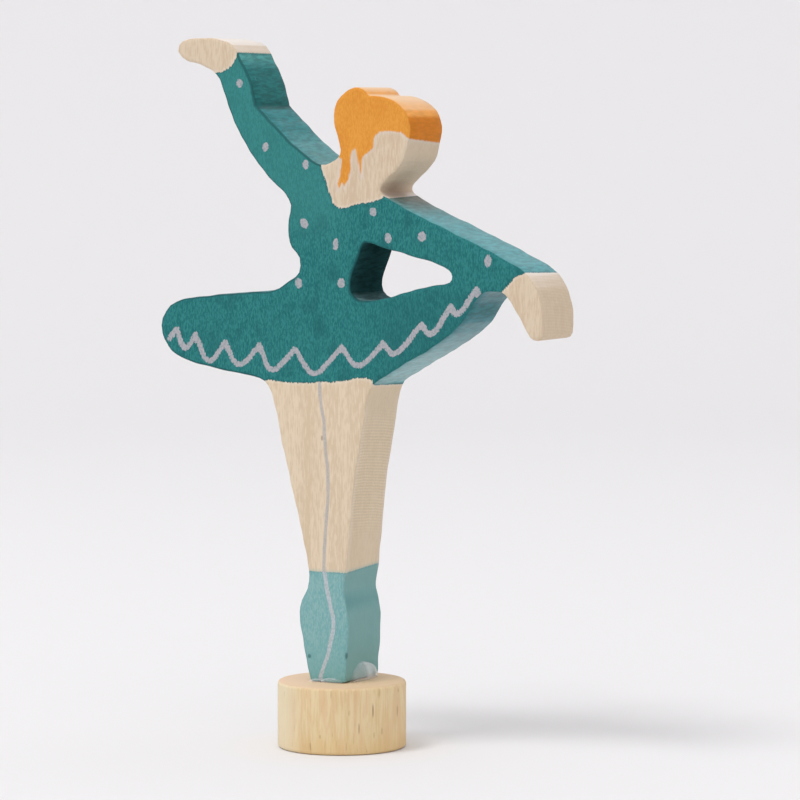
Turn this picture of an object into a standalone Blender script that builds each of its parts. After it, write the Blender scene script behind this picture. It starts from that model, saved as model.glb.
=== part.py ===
"""A ballerina sawn from one flat board and glued upright on a round wooden plug.

Metres, +Z up. The figure faces -Y, so +X is the viewer's right. The origin is the
centre of the plug's underside.
"""
import bmesh
import bpy
from math import ceil, radians
from mathutils import Matrix, Vector
from mathutils.geometry import interpolate_bezier

# Driving dimensions
FIGURE_HEIGHT = 0.0905
BOARD_THICKNESS = 0.0103
BOARD_SETBACK = 0.00135
SAW_ALLOWANCE = 0.00012
BOARD_EDGE_ROUND = 0.00035
PLUG_DIAMETER = 0.018
PLUG_HEIGHT = 0.0095
PLUG_EDGE_ROUND = 0.0005
BEAD_LENGTH = 0.0075
BEAD_WIDTH = 0.0009
BEAD_RISE = 0.0024
BEAD_OFF_CENTRE = 0.0006

# Gap left between pieces that are glued together
GLUE_GAP = 0.0003

# Fineness of the round stretches
OUTLINE_STEP = 0.0011
PLUG_SIDES = 64
BEAD_SIDES = 24
ROUND_SEGMENTS = 2

# Edges turned by more than this are sanded round, and are shaded sharp beyond the next
SANDED_ANGLE = radians(50)
SHARP_ANGLE = radians(40)

# The line that the saw follows, in hundredths of the figure's height: x from the plug's
# axis, z from the soles. It runs clockwise from the raised fingertips, and the allowance is
# left on its outer side.
RAISED_HAND = ((-26.6, 98.1), (-25.7, 99.6), (-22.5, 100.0), (-19.0, 99.7))
RAISED_SLEEVE = ((-17.0, 98.9), (-15.4, 96.3), (-14.0, 93.6), (-13.3, 91.2), (-12.9, 89.5))
SHOULDER = ((-9.8, 86.6), (-6.8, 83.8), (-3.6, 81.4), (-1.4, 80.2))
NAPE = ((0.4, 80.6), (1.7, 81.5), (2.2, 82.7), (1.7, 84.6))
BUN = ((1.0, 87.0), (1.1, 89.0), (2.3, 91.0), (4.5, 92.2), (6.0, 91.8), (6.8, 90.9))
CROWN = ((8.8, 90.8), (11.2, 90.1), (13.0, 88.7), (14.0, 86.3))
CHIN = ((13.6, 83.6), (12.8, 81.0), (11.0, 79.1), (9.3, 77.6), (8.9, 76.4), (9.8, 75.4))
LOW_SLEEVE = ((13.7, 73.4), (25.0, 68.4), (30.4, 65.9), (33.1, 64.4))
LOW_HAND = ((34.7, 62.8), (35.9, 60.3), (36.4, 57.2), (36.3, 54.8), (35.4, 54.1), (34.3, 54.6),
            (33.0, 56.8), (31.4, 59.4), (30.2, 60.9))
SKIRT_RIGHT = ((28.8, 61.4), (26.6, 61.3), (24.8, 59.6), (22.6, 56.4), (20.4, 54.4),
               (17.2, 52.3), (14.4, 50.8), (7.6, 46.8))
RIGHT_LEG = ((6.7, 45.0), (5.6, 38.8), (4.3, 31.5), (3.5, 23.8), (2.9, 18.2), (2.5, 15.5))
RIGHT_SLIPPER = ((2.4, 13.9), (2.8, 12.1), (3.2, 9.8), (3.0, 5.2), (2.6, 0.0))
LEFT_SLIPPER = ((-3.3, 0.0), (-4.1, 3.9), (-5.0, 8.4), (-5.2, 10.7), (-4.8, 12.6), (-3.7, 14.6))
LEFT_LEG = ((-3.5, 16.6), (-4.3, 21.3), (-6.1, 28.6), (-8.1, 36.6), (-9.4, 42.5), (-10.5, 45.8))
SKIRT_LEFT = ((-12.3, 47.2), (-17.6, 48.1), (-22.4, 49.0), (-26.4, 50.1), (-28.7, 51.7),
              (-29.9, 55.0), (-29.1, 57.2), (-27.2, 58.7), (-23.0, 59.5), (-16.0, 60.2),
              (-10.6, 60.6))
WAIST = ((-8.7, 61.1), (-6.7, 62.4), (-5.2, 63.6), (-5.0, 65.9), (-6.4, 67.6), (-7.05, 69.3))
FLANK = ((-6.9, 71.8), (-6.6, 74.1), (-7.5, 75.8), (-9.8, 77.8))
UNDERARM = ((-12.3, 80.5), (-14.9, 84.2), (-17.0, 88.0), (-18.4, 91.7), (-19.1, 93.6),
            (-20.4, 95.1), (-22.8, 96.1), (-25.2, 96.8))

# The window sawn out between the bodice, the low arm and the skirt, same measure
WINDOW = ((6.0, 68.4), (6.9, 68.5), (9.2, 67.9), (12.4, 67.1), (18.6, 65.5), (20.7, 64.5),
          (21.3, 63.5), (20.8, 62.4), (17.2, 61.8), (13.4, 60.8), (8.0, 59.5), (5.2, 59.5), (3.8, 60.6),
          (3.6, 62.4), (4.2, 64.4), (5.2, 66.7))

# Knots where the saw turned on the spot
CORNERS = {RAISED_SLEEVE[-1], BUN[-1], SKIRT_RIGHT[-1], RIGHT_SLIPPER[-1], LEFT_SLIPPER[0]}

# Colours of wood and clear glue
TEAL_STAINED_MAPLE = (0.028, 0.205, 0.195, 1.0)
BEECH = (0.74, 0.54, 0.32, 1.0)
CLEAR_GLUE = (0.85, 0.87, 0.84, 0.35)


def clear_scene():
    """Remove whatever the file holds."""
    for existing in list(bpy.data.objects):
        bpy.data.objects.remove(existing, do_unlink=True)


def finish(name, colour, roughness, alpha=1.0):
    """Return a material for one piece."""
    material = bpy.data.materials.new(name)
    material.use_nodes = True
    shader = material.node_tree.nodes["Principled BSDF"]
    shader.inputs["Base Color"].default_value = colour
    shader.inputs["Roughness"].default_value = roughness
    shader.inputs["Metallic"].default_value = 0.0
    shader.inputs["Alpha"].default_value = alpha
    return material


def handles(before, knot, after, is_corner):
    """Return the Bezier handles in and out of a knot, smooth unless it is a corner."""
    into = (before - knot) / 3
    out = (after - knot) / 3
    if is_corner:
        return knot + into, knot + out
    tangent = (after - before).normalized()
    return knot - tangent * into.length, knot + tangent * out.length


def smooth_loop(knots, z_zero, allowance):
    """Return the board-plane points (x, z) of a closed smooth curve beside the knots."""
    share = FIGURE_HEIGHT / 100
    places = [Vector((x * share, z_zero + z * share)) for x, z in knots]
    count = len(places)
    arms = [handles(places[i - 1], places[i], places[(i + 1) % count], knots[i] in CORNERS)
            for i in range(count)]
    points = []
    for i, start in enumerate(places):
        end = places[(i + 1) % count]
        steps = max(2, ceil((end - start).length / OUTLINE_STEP))
        span = interpolate_bezier(start, arms[i][1], arms[(i + 1) % count][0], end, steps + 1)
        points.extend(span[:-1])
    loop = []
    for i, point in enumerate(points):
        along = (points[(i + 1) % len(points)] - points[i - 1]).normalized()
        beside = point + Vector((-along.y, along.x)) * allowance
        loop.append((beside.x, max(beside.y, z_zero)))
    return loop


def add_object(name, mesh_builder, material):
    """Make a mesh object from a bmesh that the builder fills, shaded smooth."""
    shape = bmesh.new()
    mesh_builder(shape)
    bmesh.ops.recalc_face_normals(shape, faces=shape.faces)
    mesh = bpy.data.meshes.new(name)
    shape.to_mesh(mesh)
    shape.free()
    mesh.shade_smooth()
    mesh.materials.append(material)
    piece = bpy.data.objects.new(name, mesh)
    bpy.context.collection.objects.link(piece)
    return piece


def sand_edges(piece, radius):
    """Round the sharp edges as sandpaper does."""
    rounding = piece.modifiers.new("sanded edges", "BEVEL")
    rounding.width = radius
    rounding.segments = ROUND_SEGMENTS
    rounding.limit_method = "ANGLE"
    rounding.angle_limit = SANDED_ANGLE
    piece.data.set_sharp_from_angle(angle=SHARP_ANGLE)


def saw_board(shape):
    """Fill the outline round the window and give it the board's thickness."""
    soles = PLUG_HEIGHT + GLUE_GAP
    front = BOARD_SETBACK - BOARD_THICKNESS / 2
    outline = (RAISED_HAND + RAISED_SLEEVE + SHOULDER + NAPE + BUN + CROWN + CHIN + LOW_SLEEVE
               + LOW_HAND + SKIRT_RIGHT + RIGHT_LEG + RIGHT_SLIPPER + LEFT_SLIPPER + LEFT_LEG
               + SKIRT_LEFT + WAIST + FLANK + UNDERARM)
    rims = []
    for knots, allowance in ((outline, SAW_ALLOWANCE), (WINDOW, -SAW_ALLOWANCE)):
        sawn = smooth_loop(knots, soles, allowance)
        loop = [shape.verts.new((x, front, z)) for x, z in sawn]
        rims += [shape.edges.new((a, b)) for a, b in zip(loop, loop[1:] + loop[:1])]
    bmesh.ops.triangle_fill(shape, use_beauty=True, use_dissolve=False, edges=rims)
    inner = [edge for edge in shape.edges if len(edge.link_faces) == 2]
    bmesh.ops.dissolve_limit(shape, angle_limit=radians(1), verts=[], edges=inner)
    board = bmesh.ops.extrude_face_region(shape, geom=list(shape.faces))
    back = [part for part in board["geom"] if isinstance(part, bmesh.types.BMVert)]
    bmesh.ops.translate(shape, verts=back, vec=(0, BOARD_THICKNESS, 0))


def turn_plug(shape):
    """Make the short round plug, standing on the origin."""
    radius = PLUG_DIAMETER / 2
    bmesh.ops.create_cone(shape, cap_ends=True, segments=PLUG_SIDES, radius1=radius,
                          radius2=radius, depth=PLUG_HEIGHT,
                          matrix=Matrix.Translation((0, 0, PLUG_HEIGHT / 2)))


def squeeze_bead(shape):
    """Make the glue that swelled out at the foot: a quarter of a flattened ball."""
    share = FIGURE_HEIGHT / 100
    foot_side = RIGHT_SLIPPER[-2][0] * share
    size = Matrix.Diagonal((BEAD_WIDTH, BEAD_LENGTH / 2, BEAD_RISE, 1))
    place = Vector((foot_side + GLUE_GAP, BOARD_SETBACK + BEAD_OFF_CENTRE,
                    PLUG_HEIGHT + GLUE_GAP))
    bmesh.ops.create_uvsphere(shape, u_segments=BEAD_SIDES, v_segments=BEAD_SIDES // 2,
                              radius=1, matrix=Matrix.Translation(place) @ size)
    for normal in ((-1, 0, 0), (0, 0, -1)):
        everything = shape.verts[:] + shape.edges[:] + shape.faces[:]
        cut = bmesh.ops.bisect_plane(shape, geom=everything, plane_co=place,
                                     plane_no=normal, clear_outer=True)
        rim = [part for part in cut["geom_cut"] if isinstance(part, bmesh.types.BMEdge)]
        bmesh.ops.holes_fill(shape, edges=rim)


clear_scene()
figure = add_object("figure", saw_board, finish("stained maple", TEAL_STAINED_MAPLE, 0.6))
sand_edges(figure, BOARD_EDGE_ROUND)
plug = add_object("plug", turn_plug, finish("beech", BEECH, 0.65))
sand_edges(plug, PLUG_EDGE_ROUND)
add_object("glue_bead", squeeze_bead, finish("clear glue", CLEAR_GLUE, 0.15, CLEAR_GLUE[3]))
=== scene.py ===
"""The looks of a small wooden dancer that is glued upright on a round plug.

Metres, +Z up. The dancer faces -Y, and the origin is the centre of the plug's underside.
"""
from math import cos, pi, radians, sin

import bpy
import numpy as np
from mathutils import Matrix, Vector


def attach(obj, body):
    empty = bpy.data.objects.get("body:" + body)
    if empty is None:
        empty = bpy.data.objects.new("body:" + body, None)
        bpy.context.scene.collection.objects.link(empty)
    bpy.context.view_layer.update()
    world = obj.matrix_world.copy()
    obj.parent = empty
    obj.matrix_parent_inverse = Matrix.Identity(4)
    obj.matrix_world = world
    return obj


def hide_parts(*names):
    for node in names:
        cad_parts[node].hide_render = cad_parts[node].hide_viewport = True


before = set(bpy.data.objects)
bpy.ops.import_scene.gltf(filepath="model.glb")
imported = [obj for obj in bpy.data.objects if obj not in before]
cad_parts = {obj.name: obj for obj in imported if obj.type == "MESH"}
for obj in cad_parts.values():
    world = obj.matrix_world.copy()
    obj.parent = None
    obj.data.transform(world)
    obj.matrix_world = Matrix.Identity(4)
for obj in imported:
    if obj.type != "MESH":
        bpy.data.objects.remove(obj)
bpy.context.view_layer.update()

# The dancer
# It is sawn out of one maple board, a little over 10 mm thick, with the grain upright, and
# glued by its sole on the plug. Hands, face, neck and legs stay bare. The rest is brushed with
# water stain that creeps along the grain, and silver pen marks lie on the front alone.
MILLIMETRE = 0.001
# In mm: a hundredth of the dancer's height, and where its sole, front and back lie
SHARE = 0.905
SOLE = 9.52
FRONT = -3.8
BACK = 6.5
# In mm: how far the CAD solid reaches, and how close the cuts across it lie
CAD_SOLE = 9.8
CAD_TOP = 100.5
CAD_LEFT = -27.2
CAD_RIGHT = 33.2
MESH_PITCH = 0.42
WALL_PITCH = 2.5
# Edges that turn by less than this are shaded smooth
CREASE = radians(40)
# The blade's wander as sine waves: reach in mm, turn per mm along x, y and z, and phase
SWAY = ((0.035, (0.9, 0.16, 1.15), 0.0), (0.03, (2.3, 0.0, -1.7), 0.6))
LIFT = ((0.035, (1.3, 0.14, -0.8), 0.0), (0.03, (1.9, 0.0, 2.1), 2.1))
# The saw's ridges: their pitch in mm, and how far they bow down with depth and its square
RIDGE_PITCH = 0.41
RIDGE_BOW = (0.024, 0.0053)

# Places painted, in hundredths of the dancer's height: x from the plug's axis, z from the sole
RAISED_CUFF = ((-22.0, 92.5), (-19.8, 94.7), (-18.65, 94.75), (-17.35, 95.45), (-16.75, 96.15),
               (-16.15, 97.2), (-16.05, 98.1), (-14.6, 100.2))
ABOVE_SHOULDER = ((-10.0, 90.5), (-2.6, 83.0), (-1.5, 80.9))
NECKLINE = ((-1.2, 80.1), (-0.75, 78.9), (-0.05, 77.0), (0.4, 75.4), (1.2, 74.0), (1.7, 73.75),
            (3.0, 73.9), (5.0, 74.35), (7.0, 74.6), (8.0, 74.8), (8.8, 75.2), (9.4, 75.5))
ABOVE_LOW_SLEEVE = ((10.4, 78.0), (16.0, 76.0), (36.0, 66.5))
LOW_CUFF = ((33.4, 64.2), (32.1, 63.7), (31.3, 62.9), (30.5, 62.0), (29.6, 61.1), (29.9, 59.2))
BELOW_SKIRT_RIGHT = ((25.0, 55.0), (15.0, 48.0), (8.6, 44.6))
HEM = ((7.6, 46.7), (7.4, 47.6), (5.0, 47.5), (2.0, 47.0), (1.0, 46.85), (-2.0, 46.8),
       (-5.0, 46.45), (-8.0, 46.65), (-11.0, 46.85), (-12.6, 45.5))
ROUND_SKIRT_LEFT = ((-24.0, 47.0), (-31.0, 50.0), (-33.0, 55.0), (-30.0, 60.5), (-22.0, 62.0),
                    (-9.6, 64.0))
BESIDE_BODICE = ((-8.4, 66.0), (-9.5, 72.0), (-11.0, 76.0), (-16.0, 82.0), (-20.6, 90.0))
DRESS = (RAISED_CUFF + ABOVE_SHOULDER + NECKLINE + ABOVE_LOW_SLEEVE + LOW_CUFF
         + BELOW_SKIRT_RIGHT + HEM + ROUND_SKIRT_LEFT + BESIDE_BODICE)
FRINGE = ((17.0, 84.0), (13.9, 84.4), (13.2, 84.8), (12.7, 85.3), (11.0, 85.45), (10.0, 85.5),
          (9.0, 85.45), (8.5, 85.1), (8.0, 84.4), (8.0, 83.4), (7.6, 82.7), (6.6, 82.0),
          (6.0, 81.5), (5.9, 80.2), (5.75, 78.5), (5.2, 80.5), (4.95, 82.0), (4.8, 82.9),
          (4.4, 82.9), (4.15, 82.2), (4.0, 81.3), (3.95, 80.0), (3.75, 79.0), (3.45, 77.9),
          (3.1, 77.4), (2.85, 76.9), (2.6, 77.2), (2.35, 77.7), (2.2, 77.1), (1.9, 76.6),
          (1.55, 76.4), (1.6, 77.4), (2.1, 79.0), (2.3, 81.4))
ABOVE_HAIR = ((0.6, 81.8), (-0.6, 86.0), (-0.6, 90.0), (3.0, 94.0), (9.0, 93.5), (15.0, 91.0),
              (17.0, 87.5))
HAIR = FRINGE + ABOVE_HAIR
SLIPPER_TOP = 17.3
# The box round the window between the bodice, the low arm and the skirt
WINDOW_MIDDLE = (12.5, 64.2)
WINDOW_REACH = (10.0, 5.6)

# The silver pen: the zigzag's peaks and valleys, the leg line, and the dots
ZIGZAG_START = (-28.4, 52.9)
PEAKS = ((-27.1, 54.5), (-23.7, 53.7), (-18.3, 52.6), (-12.1, 52.3), (-5.85, 51.85), (2.3, 52.35),
         (9.55, 53.1), (16.1, 56.1), (21.1, 59.0), (25.45, 61.65))
VALLEYS = ((-25.6, 51.45), (-21.3, 49.55), (-15.8, 49.1), (-10.0, 48.4), (-2.5, 48.1),
           (5.35, 49.5), (11.75, 51.6), (17.95, 54.8), (22.4, 57.8))
ZIGZAG_END = (26.0, 60.1)
VALLEY_ROUNDNESS = 0.45
VALLEY_STEPS = 7
LEG_LINE = ((-1.65, 47.4), (-1.5, 45.0), (-1.25, 43.0), (-0.9, 41.0), (-0.75, 39.5),
            (-0.55, 36.5), (-0.4, 35.0), (-0.2, 33.0), (-0.05, 31.0), (-0.25, 27.5),
            (-0.5, 24.5), (-0.8, 21.0), (-0.85, 17.5), (-0.75, 16.5), (-0.4, 15.0),
            (0.05, 12.8), (0.6, 10.8), (0.75, 9.5), (0.7, 8.0), (0.2, 6.0), (-0.35, 4.0),
            (-1.0, 2.2), (-1.35, 1.2), (-1.5, 0.4))
ZIGZAG_WIDTH = 0.75
LEG_LINE_WIDTH = 0.50
# Each dot's centre in hundredths of the height, its width and height in mm, its lean in degrees
DOTS = ((-15.55, 93.0, 1.05, 1.15, 0), (-11.0, 83.1, 0.95, 1.25, 10), (-3.9, 80.4, 0.95, 1.3, 0),
        (-4.2, 71.35, 1.15, 1.5, -35), (1.3, 68.15, 0.85, 1.65, 5), (2.25, 62.2, 1.15, 1.3, 0),
        (-5.2, 62.05, 1.1, 1.45, -15), (7.8, 73.2, 1.05, 1.2, 0), (10.4, 69.2, 1.0, 1.4, -15),
        (16.2, 69.5, 1.25, 1.35, 0), (27.35, 65.95, 1.05, 1.7, 0))
# A dot's reach through the board in mm, as good as endless: the front face alone shows it
RIGHT_THROUGH = 1e4

# Other marks, each by its centre and its reach along the axes, in mm
# The first is painted shade on the wall under the chin
CHIN_SHADE = ((8.5, 0.2, 78.4), (2.6, 7.0, 2.3))
LEG_FLECK = ((-1.06, FRONT, 44.0), (0.22, 0.5, 0.45))
SLEEVE_SCRATCH = ((-12.7, -1.9, 94.4), (1.0, 0.14, 0.5))
SLIPPER_SMUDGES = (((-3.15, FRONT, 13.1), (0.32, 0.6, 0.36)),
                   ((2.75, FRONT, 13.4), (0.32, 0.5, 0.65)))

# Colours are linear
BARE_MAPLE = (0.69, 0.57, 0.43, 1.0)
BARE_MAPLE_STREAK = (0.61, 0.475, 0.335, 1.0)
# Paler maple, also used as painted sheen on the bare wood's upward-facing walls
BARE_MAPLE_PALE = (0.86, 0.80, 0.76, 1.0)
LEG_MAPLE = (0.735, 0.610, 0.455, 1.0)
LEG_MAPLE_STREAK = (0.645, 0.515, 0.360, 1.0)
# Dark brown for the fleck on the leg, and for the painted shade under the chin
DARK_FLECK_AND_SHADE = (0.20, 0.12, 0.08, 1.0)
TEAL = (0.013, 0.138, 0.143, 1.0)
TEAL_LIGHT = (0.033, 0.222, 0.220, 1.0)
TEAL_DEEP = (0.012, 0.105, 0.112, 1.0)
TEAL_WORN = (0.053, 0.255, 0.243, 1.0)
TEAL_RIM = (0.012, 0.070, 0.075, 1.0)
TEAL_WALL = (0.021, 0.167, 0.170, 1.0)
# Painted light: lighter teal for the top of the raised sleeve's wall
TEAL_WALL_LIT = (0.095, 0.345, 0.335, 1.0)
# Painted shade for the corner under the raised sleeve
TEAL_CORNER_SHADE = (0.008, 0.105, 0.108, 1.0)
# Painted light: lighter teal for walls that face up, on the shoulder's slope and on the tops
TEAL_SLOPE = (0.018, 0.205, 0.225, 1.0)
TEAL_TOP = (0.075, 0.300, 0.330, 1.0)
# Painted light: the undersides' teal, lit as from the floor, deeper towards the hand
TEAL_UNDER = (0.137, 0.347, 0.370, 1.0)
TEAL_UNDER_DEEP = (0.018, 0.170, 0.205, 1.0)
# Painted shade for the window's walls, with painted light on their sill
TEAL_WINDOW_SHADE = (0.018, 0.062, 0.065, 1.0)
TEAL_SILL_LIT = (0.120, 0.220, 0.230, 1.0)
NECK_GREY_BROWN = (0.135, 0.112, 0.078, 1.0)
ORANGE = (0.765, 0.337, 0.056, 1.0)
ORANGE_DEEP = (0.69, 0.268, 0.038, 1.0)
ORANGE_SIDE = (0.64, 0.205, 0.016, 1.0)
# Painted light for the hair's walls above 88 hundredths of the height
ORANGE_SIDE_LIT = (0.84, 0.37, 0.085, 1.0)
# Painted sheen for the hair's upward-facing walls
ORANGE_TOP_SHEEN = (0.83, 0.50, 0.235, 1.0)
LILAC = (0.72, 0.67, 0.69, 1.0)
SLIPPER = (0.27, 0.46, 0.455, 1.0)
SLIPPER_DEEP = (0.17, 0.38, 0.39, 1.0)
SLIPPER_SIDE = (0.20, 0.375, 0.36, 1.0)
# Darker slipper teal: painted shade round the ankle, and the slipper's darker edges
SLIPPER_EDGE_AND_SHADE = (0.120, 0.290, 0.300, 1.0)
SLIPPER_LOW = (0.17, 0.395, 0.405, 1.0)
SMUDGE = (0.03, 0.12, 0.11, 1.0)
SILVER = (0.44, 0.42, 0.45, 1.0)
SILVER_BRIGHT = (0.56, 0.57, 0.60, 1.0)
SILVER_SHADE = (0.28, 0.35, 0.37, 1.0)


def only(piece):
    """Select one object alone and make it the active one."""
    bpy.ops.object.select_all(action="DESELECT")
    piece.select_set(True)
    bpy.context.view_layer.objects.active = piece


def cut_across(normal, low, high, pitch):
    """Cut the mesh in edit mode by parallel planes at an even pitch."""
    cuts = int((high - low) / pitch)
    for step in range(1, cuts + 1):
        place = [part * (low + step * pitch) * MILLIMETRE for part in normal]
        bpy.ops.mesh.select_all(action="SELECT")
        bpy.ops.mesh.bisect(plane_co=place, plane_no=normal)


def vertex_places(mesh):
    """Return the places of a mesh's vertices, in millimetres."""
    places = np.empty(len(mesh.vertices) * 3, np.float32)
    mesh.vertices.foreach_get("co", places)
    return places.reshape(-1, 3).astype(float) / MILLIMETRE


def put_vertices(mesh, places):
    """Move a mesh's vertices to places in millimetres."""
    mesh.vertices.foreach_set("co", (places * MILLIMETRE).astype(np.float32).ravel())
    mesh.update()


def distance_from(points, path):
    """Return each point's distance from the nearest stretch of a path."""
    nearest = np.full(len(points), np.inf)
    for start, end in zip(path[:-1], path[1:]):
        stretch = end - start
        along = np.clip((points - start) @ stretch / (stretch @ stretch), 0, 1)
        gap = np.linalg.norm(points - start - along[:, None] * stretch, axis=1)
        nearest = np.minimum(nearest, gap)
    return nearest


def depth_inside(points, loop):
    """Return each point's distance from a loop, positive inside it."""
    ring = np.vstack((loop, loop[:1]))
    inside = np.zeros(len(points), bool)
    for start, end in zip(ring[:-1], ring[1:]):
        if start[1] == end[1]:
            continue
        spans = (start[1] > points[:, 1]) != (end[1] > points[:, 1])
        along = (points[:, 1] - start[1]) / (end[1] - start[1])
        inside ^= spans & (points[:, 0] < start[0] + along * (end[0] - start[0]))
    distance = distance_from(points, ring)
    return np.where(inside, distance, -distance)


def pen_zigzag():
    """Return the zigzag's line: sharp at the peaks, rounded in the valleys."""
    peaks = np.array(PEAKS)
    line = [np.array(ZIGZAG_START)]
    for before, after, valley in zip(peaks[:-1], peaks[1:], np.array(VALLEYS)):
        pull = VALLEY_ROUNDNESS / 4 * (before + after)
        turn = (valley - pull) / (1 - VALLEY_ROUNDNESS / 2)
        into = turn + (before - turn) * VALLEY_ROUNDNESS
        out = turn + (after - turn) * VALLEY_ROUNDNESS
        line.append(before)
        for t in np.linspace(0, 1, VALLEY_STEPS):
            line.append((1 - t) ** 2 * into + 2 * t * (1 - t) * turn + t ** 2 * out)
    return np.array(line + [peaks[-1], np.array(ZIGZAG_END)])


def note(mesh, name, values):
    """Store one number per vertex for the material to read."""
    stored = mesh.attributes.new(name, "FLOAT", "POINT")
    stored.data.foreach_set("value", values.astype(np.float32))


def wander(places, waves):
    """Return the sum of some sine waves at each place."""
    return sum(reach * np.sin(places @ turns + phase) for reach, turns, phase in waves)


dancer = bpy.data.objects.new("dancer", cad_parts["figure"].data.copy())
bpy.context.scene.collection.objects.link(dancer)
only(dancer)
bpy.ops.mesh.customdata_custom_splitnormals_clear()
bpy.ops.object.mode_set(mode="EDIT")
bpy.ops.mesh.select_all(action="SELECT")
bpy.ops.mesh.remove_doubles(threshold=1e-6)
bpy.ops.mesh.mark_sharp(clear=True)
bpy.ops.mesh.dissolve_limited(angle_limit=radians(0.5))
cut_across((0, 0, 1), CAD_SOLE, CAD_TOP, MESH_PITCH)
cut_across((1, 0, 0), CAD_LEFT, CAD_RIGHT, MESH_PITCH)
cut_across((0, 1, 0), FRONT, BACK - 1, WALL_PITCH)
bpy.ops.mesh.select_all(action="SELECT")
bpy.ops.mesh.quads_convert_to_tris(quad_method="BEAUTY", ngon_method="BEAUTY")
bpy.ops.mesh.tris_convert_to_quads(face_threshold=radians(1), shape_threshold=radians(60))
bpy.ops.object.mode_set(mode="OBJECT")

wood_places = vertex_places(dancer.data)
wood_places[:, 2] += SOLE - CAD_SOLE
sawn_places = wood_places.copy()
sawn_places[:, 0] += wander(wood_places, SWAY)
sawn_places[:, 2] += wander(wood_places, LIFT)
put_vertices(dancer.data, sawn_places)
board_points = (wood_places[:, (0, 2)] - (0, SOLE)) / SHARE
note(dancer.data, "dress", depth_inside(board_points, np.array(DRESS)) * SHARE)
note(dancer.data, "hair", depth_inside(board_points, np.array(HAIR)) * SHARE)
note(dancer.data, "zigzag", distance_from(board_points, pen_zigzag()) * SHARE)
line_x, line_z = np.array(LEG_LINE).T
line_there = np.interp(board_points[:, 1], line_z[::-1], line_x[::-1])
note(dancer.data, "leg_line", (board_points[:, 0] - line_there) * SHARE)
bpy.ops.object.shade_smooth_by_angle(angle=CREASE)


def feed(made, sockets):
    """Give a shader node's sockets their links or plain values."""
    for name, value in dict(sockets).items():
        if isinstance(value, Signal):
            value.drive(made.inputs[name])
        else:
            made.inputs[name].default_value = value


class Signal:
    """A shader socket that takes part in Python arithmetic; each operator adds a Math node."""

    def __init__(self, tree, socket=None):
        self.tree = tree
        self.socket = socket

    def drive(self, socket):
        """Link this signal to a socket."""
        self.tree.links.new(self.socket, socket)

    def node(self, kind, settings=(), sockets=(), output=0):
        """Add a node, set it up, feed its sockets, and return one of its outputs."""
        made = self.tree.nodes.new(kind)
        for name, value in dict(settings).items():
            setattr(made, name, value)
        feed(made, sockets)
        return Signal(self.tree, made.outputs[output])

    def math(self, operation, *values):
        """Add a Math node."""
        return self.node("ShaderNodeMath", {"operation": operation}, dict(enumerate(values)))

    def __add__(self, other):
        return self.math("ADD", self, other)

    def __sub__(self, other):
        return self.math("SUBTRACT", self, other)

    def __rsub__(self, other):
        return self.math("SUBTRACT", other, self)

    def __mul__(self, other):
        return self.math("MULTIPLY", self, other)

    __radd__ = __add__
    __rmul__ = __mul__

    def __abs__(self):
        return self.math("ABSOLUTE", self)

    def sine(self):
        """Return the sine of this signal."""
        return self.math("SINE", self)

    def lesser(self, other):
        """Return the lesser of two signals."""
        return self.math("MINIMUM", self, other)

    def greater(self, other):
        """Return the greater of two signals."""
        return self.math("MAXIMUM", self, other)

    def rise(self, low, high):
        """Return 0 below low and 1 above high, with a smooth climb between, or a fall."""
        return self.node("ShaderNodeMapRange", {"interpolation_type": "SMOOTHSTEP"},
                         {"Value": self, "From Min": low, "From Max": high})

    def choose(self, colour_off, colour_on):
        """Return a colour that goes from one to the other as this signal goes from 0 to 1."""
        return self.node("ShaderNodeMix", {"data_type": "RGBA"},
                         {0: self, 6: colour_off, 7: colour_on}, 2)

    def times(self, factor):
        """Return this colour or vector scaled by a factor."""
        return self.node("ShaderNodeVectorMath", {"operation": "SCALE"},
                         {0: self, "Scale": factor})


def new_finish(name):
    """Make a material and return it with its shader and a signal to build on."""
    material = bpy.data.materials.new(name)
    material.use_nodes = True
    shader = material.node_tree.nodes["Principled BSDF"]
    return material, shader, Signal(material.node_tree)


def place_on_object(tree):
    """Return the place on the object, in millimetres."""
    return tree.node("ShaderNodeTexCoord", output="Object").times(1 / MILLIMETRE)


def split(vector):
    """Return a vector's x, y and z."""
    parts = vector.node("ShaderNodeSeparateXYZ", sockets={0: vector})
    return [Signal(vector.tree, output) for output in parts.socket.node.outputs]


def speckle(tree, place, pitch, detail=3.0, roughness=0.55, warp=0.0):
    """Return noise, 0 to 1, whose grains are pitch millimetres long along each axis."""
    spread = tree.node("ShaderNodeVectorMath", {"operation": "DIVIDE"}, {0: place, 1: pitch})
    return tree.node("ShaderNodeTexNoise", (), {"Vector": spread, "Scale": 1.0, "Detail": detail,
                                                "Roughness": roughness, "Distortion": warp})


def oval(place, centre, reach, lean=0):
    """Return how far places lie from an oval's centre, 1 on its rim."""
    around = place.node("ShaderNodeMapping", {"vector_type": "TEXTURE"},
                        {"Vector": place, "Location": centre, "Rotation": (0, radians(lean), 0),
                         "Scale": reach})
    return place.node("ShaderNodeVectorMath", {"operation": "LENGTH"}, {0: around}, "Value")


def attribute(tree, name):
    """Return one of the numbers stored on the mesh."""
    return tree.node("ShaderNodeAttribute", {"attribute_name": name}, output="Fac")


def relief(tree, height_in_mm, strength=1.0):
    """Return the normal of a surface with this relief."""
    return tree.node("ShaderNodeBump", (), {"Strength": strength, "Distance": MILLIMETRE,
                                            "Height": height_in_mm})


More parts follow.
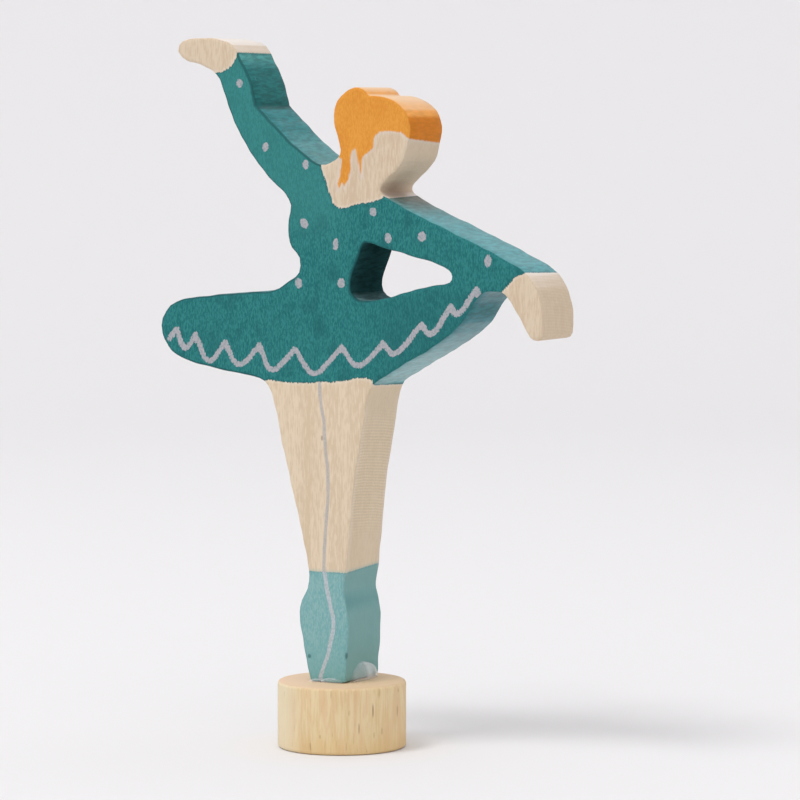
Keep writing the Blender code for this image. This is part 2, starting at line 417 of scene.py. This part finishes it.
stained_maple, shader, tree = new_finish("stained maple")
place = place_on_object(tree)
x, y, z = split(place)
across = x * (1 / SHARE)
height = (z - SOLE) * (1 / SHARE)
fibres = speckle(tree, place, (0.22, 0.22, 1.5), detail=3, roughness=0.6)
flecks = speckle(tree, place, (0.15, 0.15, 0.50), detail=2, roughness=0.6)
bands = speckle(tree, place, (2.2, 2.2, 40.0), detail=2, warp=0.3)
blotches = speckle(tree, place, (3.5, 3.5, 5.0), detail=3)
creep = speckle(tree, place, (0.22, 0.22, 1.0), detail=3, roughness=0.6)
saw_marks = speckle(tree, place, (0.45, 2.2, 0.45), detail=3, roughness=0.6)
brushing = saw_marks.rise(0.36, 0.64)
skips = speckle(tree, place, (0.22, 0.22, 0.3), detail=2)

# Where on the board: the front and back faces, the sawn walls and the way they face
skin = (y - FRONT).lesser(BACK - y)
wall = skin.rise(0.12, 0.38)
front_face = (y - FRONT).rise(0.2, 0.05)
sanded_rim = skin.rise(0.0, 0.07) * skin.rise(0.55, 0.30)
facing = split(tree.node("ShaderNodeNewGeometry", output="Normal"))[2]
upward = facing.rise(0.35, 1.0) * wall
downward = (0 - facing).rise(0.3, 0.85) * wall * across.rise(2.0, 7.0)
legs = height.rise(50.0, 46.0)
behind = (y - FRONT) * wall

# Bare wood, with saw ridges across the sides of the legs and of the low hand
grain = (fibres * 0.65 + bands * 0.35).rise(0.41, 0.59) * (1 - wall * 0.5) + wall * 0.25
bare = grain.choose(BARE_MAPLE, BARE_MAPLE_STREAK)
bare = legs.choose(bare, grain.choose(LEG_MAPLE, LEG_MAPLE_STREAK))
# Painted sheen: the bare wood's upward-facing walls turn paler
bare = (upward * 0.7).choose(bare, BARE_MAPLE_PALE)
bowed = z + behind * RIDGE_BOW[0] + behind * behind * RIDGE_BOW[1]
ridges = (bowed * (2 * pi / RIDGE_PITCH) + blotches * 5 + flecks * 4).sine()
ridged_leg = height.rise(44, 38) * height.rise(21, 27)
ridged_hand = across.rise(30, 32) * 0.35
ridges = ridges * ridged_leg.greater(ridged_hand) * wall
bare = bare.times(1 + ridges * 0.07)
# Painted shade on the wall under the chin, then a dark fleck on the leg's front
bare = (oval(place, *CHIN_SHADE).rise(1.0, 0.1) * wall * 0.7).choose(bare, DARK_FLECK_AND_SHADE)
bare = (oval(place, *LEG_FLECK).rise(1.1, 0.5) * 0.5).choose(bare, DARK_FLECK_AND_SHADE)

# Where the teal dress ends: on the sawn walls its stain spreads further towards the back
dress_depth = attribute(tree, "dress")
dress_edge = dress_depth + (creep - 0.5) * (0.8 - wall * 0.5)
lower_right = across.rise(5.0, 7.5) * height.rise(70.0, 66.0)
dress_edge = dress_edge + behind * lower_right * 0.045
beside_neck = across.rise(6.0, 8.5) * across.rise(13.5, 11.0) * height.rise(71.0, 73.0) * wall
dress_edge = dress_edge - beside_neck * (0.85 - behind * 0.045)
dress = dress_edge.rise(-0.05, 0.07)
bare = (dress_edge.rise(-0.45, -0.10) * 0.2).choose(bare, BARE_MAPLE_PALE)

# The dress on the front and back
teal_front = (flecks * 0.8 + fibres * 0.2).rise(0.39, 0.61).choose(TEAL, TEAL_LIGHT)
teal_front = (blotches.rise(0.46, 0.34) * 0.4).choose(teal_front, TEAL_DEEP)
worn_chest = height.rise(65.0, 76.0) * across.rise(6.0, -1.0)
teal_front = (worn_chest * 0.45).choose(teal_front, TEAL_WORN)
deep_hip = across.rise(4.0, 14.0) * height.rise(64.0, 58.0)
teal_front = (deep_hip * 0.35).choose(teal_front, TEAL_DEEP)

# The dress on the sawn walls, by the way they face, with painted light and shade on them
# Painted light: the raised sleeve's wall turns lighter towards its top
lit_sleeve_top = height.rise(94.9, 98.0)
teal_side = lit_sleeve_top.choose(TEAL_WALL, TEAL_WALL_LIT)
# Painted light: walls that face up get a lighter teal, on the shoulder's slope and on the tops
past_shoulder = across.rise(-10.0, -5.0)
teal_top = past_shoulder.choose(TEAL_SLOPE, TEAL_TOP)
# Darker grey-brown on the shoulder's top beside the neck, more towards the back
beside_neck_darker = across.rise(16.5, 10.0) * across.rise(5.0, 8.0) * (0.5 + behind * 0.05)
teal_top = beside_neck_darker.choose(teal_top, NECK_GREY_BROWN)
# Painted light: walls that face down get a lighter teal, as lit from the floor, deeper towards
# the hand
towards_hand = across.rise(11.0, 25.0)
teal_under = towards_hand.choose(TEAL_UNDER, TEAL_UNDER_DEEP)
# Painted light: lighter teal on the walls that face up and on those that face down
teal_wall = upward.rise(0.0, 0.6).choose(teal_side, teal_top)
teal_wall = downward.rise(0.0, 0.6).choose(teal_wall, teal_under)
# Painted shade in the corner where the raised sleeve meets the shoulder's slope
sleeve_corner_shade = height.rise(91.2, 89.2) * height.rise(88.8, 89.1) * across.rise(-15.5, -14.5)
teal_wall = sleeve_corner_shade.choose(teal_wall, TEAL_CORNER_SHADE)
teal_wall = teal_wall.times(0.80 + brushing * 0.40)
teal_wall = (oval(place, *SLEEVE_SCRATCH).rise(1.0, 0.5) * 0.5).choose(teal_wall, TEAL_TOP)
beside_window = abs(across - WINDOW_MIDDLE[0]).rise(WINDOW_REACH[0], WINDOW_REACH[0] - 0.5)
above_window = abs(height - WINDOW_MIDDLE[1]).rise(WINDOW_REACH[1], WINDOW_REACH[1] - 0.3)
in_window = beside_window * above_window
# Painted shade: the window's walls nearly black, their upward-facing sill lighter as painted
# light
window_wall_shade = upward.choose(TEAL_WINDOW_SHADE, TEAL_SILL_LIT).times(0.8 + brushing * 0.4)
teal_wall = in_window.choose(teal_wall, window_wall_shade)

# The whole dress, darker along its edges
teal = wall.choose(teal_front, teal_wall)
teal = (dress_edge.rise(0.30, 0.10) * 0.5).choose(teal, TEAL_DEEP)
teal = (sanded_rim * across.rise(9.0, 6.0) * 0.6).choose(teal, TEAL_RIM)

# Orange hair, which runs lower towards the back
hair_edge = attribute(tree, "hair") + (creep - 0.5) * 0.45 + behind * 0.062
hair = hair_edge.rise(-0.10, 0.20)
bare = (hair_edge.rise(-0.55, -0.05) * (1 - upward) * 0.25).choose(bare, LILAC)
orange = (flecks * 0.6 + blotches * 0.4).rise(0.38, 0.62).choose(ORANGE, ORANGE_DEEP)
# Painted light: the hair's sawn walls turn lighter above 88 hundredths of the height
orange_side = height.rise(87.4, 88.1).choose(ORANGE_SIDE, ORANGE_SIDE_LIT)
orange = wall.choose(orange, orange_side.times(0.93 + brushing * 0.14))
# Painted sheen: the hair's upward-facing walls turn pale
orange = (facing.rise(0.50, 0.98) * wall).choose(orange, ORANGE_TOP_SHEEN)

# Pale teal slippers, which reach higher towards the back
slipper_depth = SLIPPER_TOP * SHARE + behind * 0.05 - height * SHARE
slipper = (slipper_depth + (creep - 0.5) * 0.5).rise(-0.06, 0.10)
slipper_tone = (flecks * 0.75 + blotches * 0.25).rise(0.38, 0.62).choose(SLIPPER, SLIPPER_DEEP)
slipper_tone = (height.rise(9.0, 2.0) * 0.5).choose(slipper_tone, SLIPPER_LOW)
# Painted shade: a darker band on the walls round the narrow ankle, strongest towards the front
ankle_shade = abs(height - 12.6).rise(2.2, 0.0) * (0.9 - behind * 0.05)
slipper_side = ankle_shade.choose(SLIPPER_SIDE, SLIPPER_EDGE_AND_SHADE).times(0.9 + fibres * 0.2)
slipper_tone = (wall * 0.85).choose(slipper_tone, slipper_side)
slipper_tone = (slipper_depth.rise(0.35, 0.10) * 0.5).choose(slipper_tone, SLIPPER_EDGE_AND_SHADE)
slipper_tone = (sanded_rim * across.rise(1.0, -1.0) * 0.5).choose(slipper_tone, SLIPPER_EDGE_AND_SHADE)
for centre, reach in SLIPPER_SMUDGES:
    slipper_tone = (oval(place, centre, reach).rise(1.2, 0.4) * 0.7).choose(slipper_tone, SMUDGE)

# Silver pen on the front face
marks = (attribute(tree, "zigzag") - ZIGZAG_WIDTH / 2 + (skips - 0.5) * 0.5).rise(0.06, -0.06)
leg_gap = abs(attribute(tree, "leg_line"))
leg_gap = leg_gap + (skips - 0.5) * 0.2 - slipper * 0.06
leg_line = (leg_gap - LEG_LINE_WIDTH / 2).rise(0.08, -0.08)
leg_line = leg_line * height.rise(0.1, 0.5) * dress_depth.rise(0.1, -0.1)
marks = marks.greater(leg_line * (0.65 + slipper * 0.15))
for dot_x, dot_z, dot_width, dot_height, lean in DOTS:
    reach = oval(place, (dot_x * SHARE, 0.0, dot_z * SHARE + SOLE),
                 (dot_width / 2, RIGHT_THROUGH, dot_height / 2), lean)
    marks = marks.greater((reach + (skips - 0.5) * 0.6).rise(1.12, 0.88))
marks = marks * front_face
silver = slipper.choose(SILVER, SILVER_BRIGHT)
silver = (skips.rise(0.42, 0.66) * (1 - slipper * 0.5)).choose(silver, SILVER_SHADE)

# All the paint in its layers
bare_leg = height.rise(46.0, 42.0) * height.rise(16.5, 17.5)
# The bare legs turn paler along the rounding of their edges
pale_leg_edge = skin.rise(1.0, 0.6) * skin.rise(0.1, 0.3) * bare_leg * 0.15
paint = dress.choose(bare, teal)
paint = hair.choose(paint, orange)
paint = (slipper_depth.rise(-0.55, 0.0) * 0.3).choose(paint, SLIPPER)
paint = slipper.choose(paint, slipper_tone)
paint = pale_leg_edge.choose(paint, BARE_MAPLE_PALE)
paint = marks.choose(paint, silver)

face_relief = (fibres - 0.5) * 0.012 + (flecks - 0.5) * 0.010 + marks * 0.004
wall_relief = (saw_marks - 0.5) * 0.05 + ridges * 0.010
grain_relief = face_relief * (1 - wall) + wall_relief * wall
coat = upward * (0.9 - dress * 0.4) + downward * dress * 0.75
feed(shader, {"Base Color": paint, "Roughness": 0.7 - marks * 0.3 - fibres * 0.1,
              "Metallic": marks * 0.25, "Specular IOR Level": 0.12,
              "Coat Weight": coat, "Coat Roughness": 0.35,
              "Normal": relief(tree, grain_relief)})

# The window's walls carry painted shade, with painted light on their sill, under a dull shader
# without reflection
dull_window_shade = tree.node("ShaderNodeBsdfPrincipled", (), {"Base Color": paint, "Roughness": 1.0,
                                                  "Specular IOR Level": 0.0})
sheen = Signal(stained_maple.node_tree, shader.outputs["BSDF"])
whole = tree.node("ShaderNodeMixShader", (), {0: in_window * wall, 1: sheen, 2: dull_window_shade})
whole.drive(stained_maple.node_tree.nodes["Material Output"].inputs["Surface"])
dancer.data.materials.clear()
dancer.data.materials.append(stained_maple)
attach(dancer, "root")
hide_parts("figure")

# The plug
# A short length of turned beech rod, cut square and rounded at both rims. It fits the holes
# of a ring, and it is left bare, so its pores and ray flecks show down the side.
PLUG_RADIUS = 9.09
PLUG_HEIGHT = 9.5
PLUG_ROUNDING = 0.55
PLUG_SIDES = 160
# How close the cuts across the plug lie, in mm
PLUG_PITCH = 0.8
# Long dark pores, each by its bearing in degrees, its foot and its top in mm, and its strength
LONG_PORES = ((-27.2, 7.9, 9.3, 0.35), (-33.5, 5.0, 7.3, 0.8), (-3.6, 4.7, 6.7, 0.7),
              (-1.8, 8.2, 8.9, 0.5), (-46.9, 2.9, 4.7, 0.55), (-24.0, 2.5, 3.8, 0.4),
              (-32.5, 2.2, 3.3, 0.35), (-55.9, 5.5, 6.5, 0.3), (-81.8, 2.3, 3.0, 0.4),
              (48.0, 3.1, 5.0, 0.6), (97.0, 5.6, 7.2, 0.6), (151.0, 2.2, 4.4, 0.5))
PORE_WIDTH = 0.13
BEECH_PALE = (0.79, 0.635, 0.385, 1.0)
BEECH_WARM = (0.72, 0.53, 0.28, 1.0)
BEECH_ROSY = (0.73, 0.495, 0.280, 1.0)
BEECH_AMBER = (0.74, 0.515, 0.225, 1.0)
# Painted light: paler beech for the plug's side towards the lamp
BEECH_LIT_SIDE = (0.79, 0.685, 0.480, 1.0)
BEECH_FLECK = (0.30, 0.15, 0.060, 1.0)
BEECH_END = (0.80, 0.575, 0.395, 1.0)
BEECH_END_DARK = (0.715, 0.515, 0.32, 1.0)

bpy.ops.object.select_all(action="DESELECT")
bpy.ops.mesh.primitive_cylinder_add(
    vertices=PLUG_SIDES, radius=PLUG_RADIUS * MILLIMETRE, depth=PLUG_HEIGHT * MILLIMETRE,
    location=(0, 0, PLUG_HEIGHT / 2 * MILLIMETRE))
rod = bpy.context.object
rod.name = "beech_plug"
bpy.ops.object.transform_apply()
bpy.ops.object.mode_set(mode="EDIT")
bpy.ops.mesh.select_all(action="SELECT")
bpy.ops.mesh.edges_select_sharp(sharpness=radians(60))
bpy.ops.mesh.bevel(offset=PLUG_ROUNDING * MILLIMETRE, segments=5, profile=0.5)
cut_across((0, 0, 1), 1, PLUG_HEIGHT - 0.6, PLUG_PITCH)
bpy.ops.mesh.select_all(action="SELECT")
bpy.ops.mesh.normals_make_consistent(inside=False)
bpy.ops.object.mode_set(mode="OBJECT")
rod_places = vertex_places(rod.data)
turn = np.arctan2(rod_places[:, 1], rod_places[:, 0])
three_lobes = 0.0018 * np.sin(3 * turn + 0.4)
seven_lobes = 0.0012 * np.sin(7 * turn + rod_places[:, 2] / 3)
rod_places[:, :2] *= (1 + three_lobes + seven_lobes)[:, None]
put_vertices(rod.data, rod_places)
bpy.ops.object.shade_smooth_by_angle(angle=CREASE)

beech, shader, tree = new_finish("beech")
place = place_on_object(tree)
x, y, z = split(place)
fibres = speckle(tree, place, (0.3, 0.3, 3.2), detail=4, roughness=0.6)
bands = speckle(tree, place, (1.5, 1.5, 30.0), detail=2)
rosy_bands = speckle(tree, place, (1.1, 1.1, 9.0), detail=2, warp=0.6)
pores = speckle(tree, place, (0.15, 0.15, 2.4), detail=1, roughness=0.4)
end_pores = speckle(tree, place, (0.3, 0.3, 0.3), detail=2)
cut_end = z.rise(PLUG_HEIGHT - 0.3, PLUG_HEIGHT - 0.05)
beech_tone = (fibres * 0.65 + bands * 0.35).rise(0.40, 0.62).choose(BEECH_PALE, BEECH_WARM)
beech_tone = (rosy_bands.rise(0.44, 0.64) * 0.6).choose(beech_tone, BEECH_ROSY)
amber_foot = z.rise(4.0, 0.5) * x.rise(-8.0, -2.0)
beech_tone = (amber_foot * 0.5).choose(beech_tone, BEECH_AMBER)
# Painted light: the plug turns paler on its left side, towards the lamp
lamp_side_lit = (x * 0.89 + y * 0.45).rise(-4.8, -8.2)
beech_tone = (lamp_side_lit * 0.8).choose(beech_tone, BEECH_LIT_SIDE)
long_pores = pores.rise(0.68, 0.80) * 0.36
for bearing, foot, top, strength in LONG_PORES:
    turned = radians(bearing)
    middle = (PLUG_RADIUS * cos(turned), PLUG_RADIUS * sin(turned), (foot + top) / 2)
    pore = oval(place, middle, (PORE_WIDTH, PORE_WIDTH, (top - foot) / 2)).rise(1.1, 0.5)
    long_pores = long_pores.greater(pore * strength)
beech_tone = (long_pores * (1 - cut_end)).choose(beech_tone, BEECH_FLECK)
end_tone = (x + end_pores * 6 - 3).rise(-7.0, 8.0).choose(BEECH_END, BEECH_END_DARK)
beech_tone = cut_end.choose(beech_tone, end_tone)
pore_relief = (fibres - 0.5) * 0.02 - long_pores * 0.03 + (end_pores - 0.5) * 0.02 * cut_end
feed(shader, {"Base Color": beech_tone, "Roughness": 0.6 + fibres * 0.1,
              "Specular IOR Level": 0.4, "Normal": relief(tree, pore_relief)})
rod.data.materials.append(beech)
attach(rod, "root")
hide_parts("plug")

# The glue
# Clear wood glue that swelled out under the foot and set hard: a rounded bead against the
# right side, and two thin rims along the front of the sole.
# Each swelling by its centre and its reach along the axes, in mm
BEAD = ((2.5, 1.65, 9.45), (1.05, 4.0, 2.6))
FRONT_RIM = ((0.3, -3.7, 9.45), (1.75, 0.5, 0.75))
LEFT_RIM = ((-1.9, -3.75, 9.45), (1.3, 0.50, 0.50))
BEAD_SIDES = 48
RIM_SIDES = 32
# How far the glue reaches into the plug's top, in mm, so that no gap shows between them
GLUE_SUNK = 0.03
GLUE_COLOUR = (0.90, 0.89, 0.91, 1.0)


def swelling(centre, size, segments):
    """Add a flattened ball, cut flat where it lies on the plug."""
    bpy.ops.mesh.primitive_uv_sphere_add(segments=segments, ring_count=segments // 2, radius=1)
    ball = bpy.context.object
    ball.scale = [part * MILLIMETRE for part in size]
    ball.location = [part * MILLIMETRE for part in centre]
    bpy.ops.object.transform_apply()
    bpy.ops.object.mode_set(mode="EDIT")
    bpy.ops.mesh.select_all(action="SELECT")
    bpy.ops.mesh.bisect(plane_co=(0, 0, (PLUG_HEIGHT - GLUE_SUNK) * MILLIMETRE),
                        plane_no=(0, 0, 1), clear_inner=True, use_fill=True, threshold=1e-6)
    bpy.ops.mesh.select_all(action="SELECT")
    bpy.ops.mesh.normals_make_consistent(inside=False)
    bpy.ops.object.mode_set(mode="OBJECT")
    return ball


rims = [swelling(*FRONT_RIM, RIM_SIDES), swelling(*LEFT_RIM, RIM_SIDES)]
bead = swelling(*BEAD, BEAD_SIDES)
bead.name = "glue"
bead_places = vertex_places(bead.data)
from_middle = (bead_places - BEAD[0]) / BEAD[1]
above_plug = np.clip(bead_places[:, 2] - PLUG_HEIGHT - 0.02, 0, 1)
bead_places[:, 2] += 0.10 * above_plug * np.sin(1.4 * bead_places[:, 1] + 0.5)
bead_places[:, 0] += 0.12 * np.clip(from_middle[:, 0], 0, 1) * np.sin(1.7 * bead_places[:, 1])
put_vertices(bead.data, bead_places)
for rim in rims:
    rim.select_set(True)
bpy.ops.object.join()
bpy.ops.object.shade_smooth()

clear_glue, shader, tree = new_finish("clear glue")
ripple = speckle(tree, place_on_object(tree), (0.9, 0.9, 0.6), detail=2)
# The glue turns whiter and more opaque towards its rims, where it is seen edge-on: partly its
# milky haze, partly a painted reflection
facing = tree.node("ShaderNodeLayerWeight", (), {"Blend": 0.3}, "Facing")
feed(shader, {"Base Color": GLUE_COLOUR, "Roughness": 0.08, "Alpha": 0.08 + facing * 0.8,
              "Normal": relief(tree, ripple * 0.08, strength=0.6)})
bead.data.materials.append(clear_glue)
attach(bead, "root")
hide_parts("glue_bead")

# The studio
# A pale sheet of card that lies flat under the plug and curves up all round, under one large
# soft lamp high on the left and the even light of the room.
CARD_FLAT = 0.60
CARD_CURVE = 0.42
CARD_TOP = 0.75
CARD_SIDES = 128
CARD_STEPS = 14
CARD_WHITE = (0.80, 0.79, 0.80, 1.0)
ROOM_LIGHT = 0.90
ROOM_WHITE = (1.0, 1.0, 1.0, 1.0)
LAMP_POWER = 6.8
LAMP_PLACE = (-0.33, -0.58, 1.32)
LAMP_SIZE = 0.42
AIM = (0.0, 0.0, 0.05)
CAMERA_PLACE = (0.2574, -0.4873, 0.0870)
CAMERA_TURN = (86.070, 0.055, 26.979)
LENS = 176.4
SENSOR = 36.0

bpy.ops.object.select_all(action="DESELECT")
bpy.ops.mesh.primitive_circle_add(vertices=CARD_SIDES, radius=CARD_FLAT, fill_type="NGON")
card = bpy.context.object
card.name = "card"
bpy.ops.object.mode_set(mode="EDIT")
bpy.ops.mesh.select_mode(type="EDGE")
bpy.ops.mesh.select_all(action="SELECT")
bpy.ops.mesh.region_to_loop()
radius = CARD_FLAT
for step in range(1, CARD_STEPS + 1):
    angle = pi / 2 * step / CARD_STEPS
    wider = CARD_FLAT + CARD_CURVE * sin(angle)
    lift = CARD_CURVE * (cos(angle - pi / 2 / CARD_STEPS) - cos(angle))
    bpy.ops.mesh.extrude_edges_move(TRANSFORM_OT_translate={"value": (0, 0, lift)})
    bpy.ops.transform.resize(value=(wider / radius, wider / radius, 1))
    radius = wider
bpy.ops.mesh.extrude_edges_move(TRANSFORM_OT_translate={"value": (0, 0, CARD_TOP - CARD_CURVE)})
bpy.ops.mesh.select_all(action="SELECT")
bpy.ops.mesh.normals_make_consistent(inside=True)
bpy.ops.object.mode_set(mode="OBJECT")
bpy.ops.object.shade_smooth_by_angle(angle=CREASE)

pale_card, shader, _ = new_finish("pale card")
feed(shader, {"Base Color": CARD_WHITE, "Roughness": 0.9, "Specular IOR Level": 0.1})
card.data.materials.append(pale_card)

world = bpy.data.worlds.new("room")
bpy.context.scene.world = world
world.use_nodes = True
feed(world.node_tree.nodes["Background"], {"Color": ROOM_WHITE, "Strength": ROOM_LIGHT})

bpy.ops.object.light_add(type="AREA", location=LAMP_PLACE)
lamp = bpy.context.object
lamp.data.size = LAMP_SIZE
lamp.data.energy = LAMP_POWER
aim = [there - here for there, here in zip(AIM, LAMP_PLACE)]
lamp.rotation_mode = "QUATERNION"
lamp.rotation_quaternion = Vector(aim).to_track_quat("-Z", "Y")

bpy.ops.object.camera_add(location=CAMERA_PLACE,
                          rotation=[radians(part) for part in CAMERA_TURN])
camera = bpy.context.object
camera.data.lens = LENS
camera.data.sensor_width = SENSOR
camera.data.clip_start = 0.01
bpy.context.scene.camera = camera
bpy.context.scene.view_settings.view_transform = "Standard"
